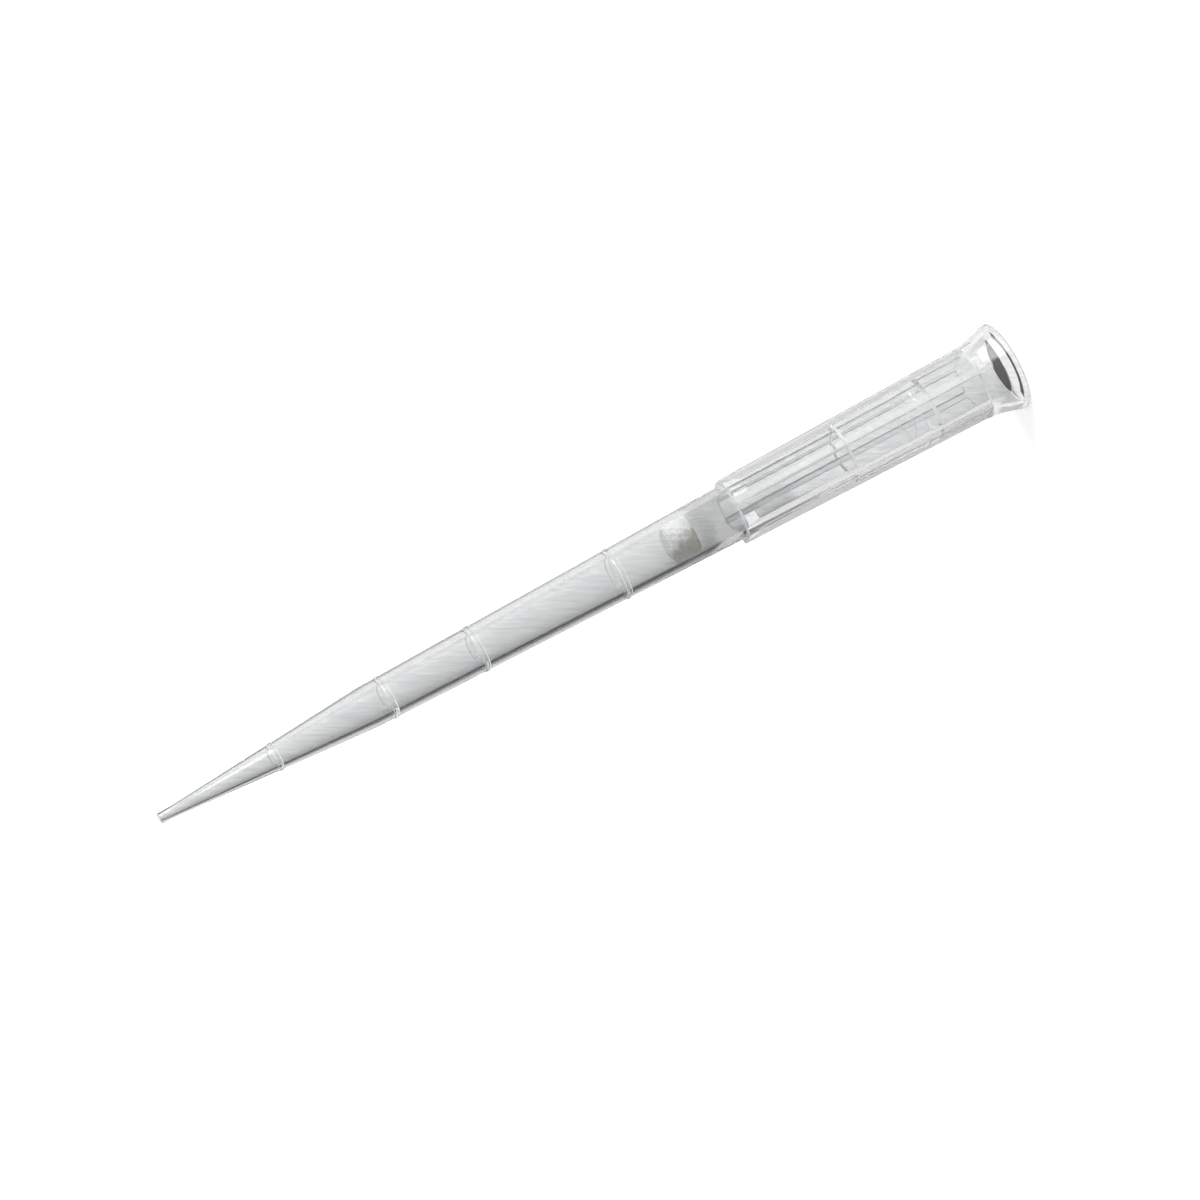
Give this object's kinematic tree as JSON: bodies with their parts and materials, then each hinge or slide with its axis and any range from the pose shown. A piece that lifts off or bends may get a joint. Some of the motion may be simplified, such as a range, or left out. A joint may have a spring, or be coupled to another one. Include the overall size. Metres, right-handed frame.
{
  "type": "pipette tip",
  "caption": "Long clear pipette tip with raised volume marks, a ribbed collar, a flared mouth and a white filter plug pressed in its bore.",
  "frame": {"origin": "centre of the mouth's end plane, which the tip stands on", "axes": "+Z along the tip's axis, from the mouth to the fine end; X through one of the six ribs"},
  "size_m": [0.0082, 0.0082, 0.084],
  "materials": {
    "clear_plastic": "clear moulded polypropylene, glossy with a faint haze",
    "porous_filter": "sintered porous polyethylene, matte white"
  },
  "bodies": {
    "root": {"tip_body": "clear_plastic", "filter_plug": "porous_filter"}
  },
  "joints": []
}
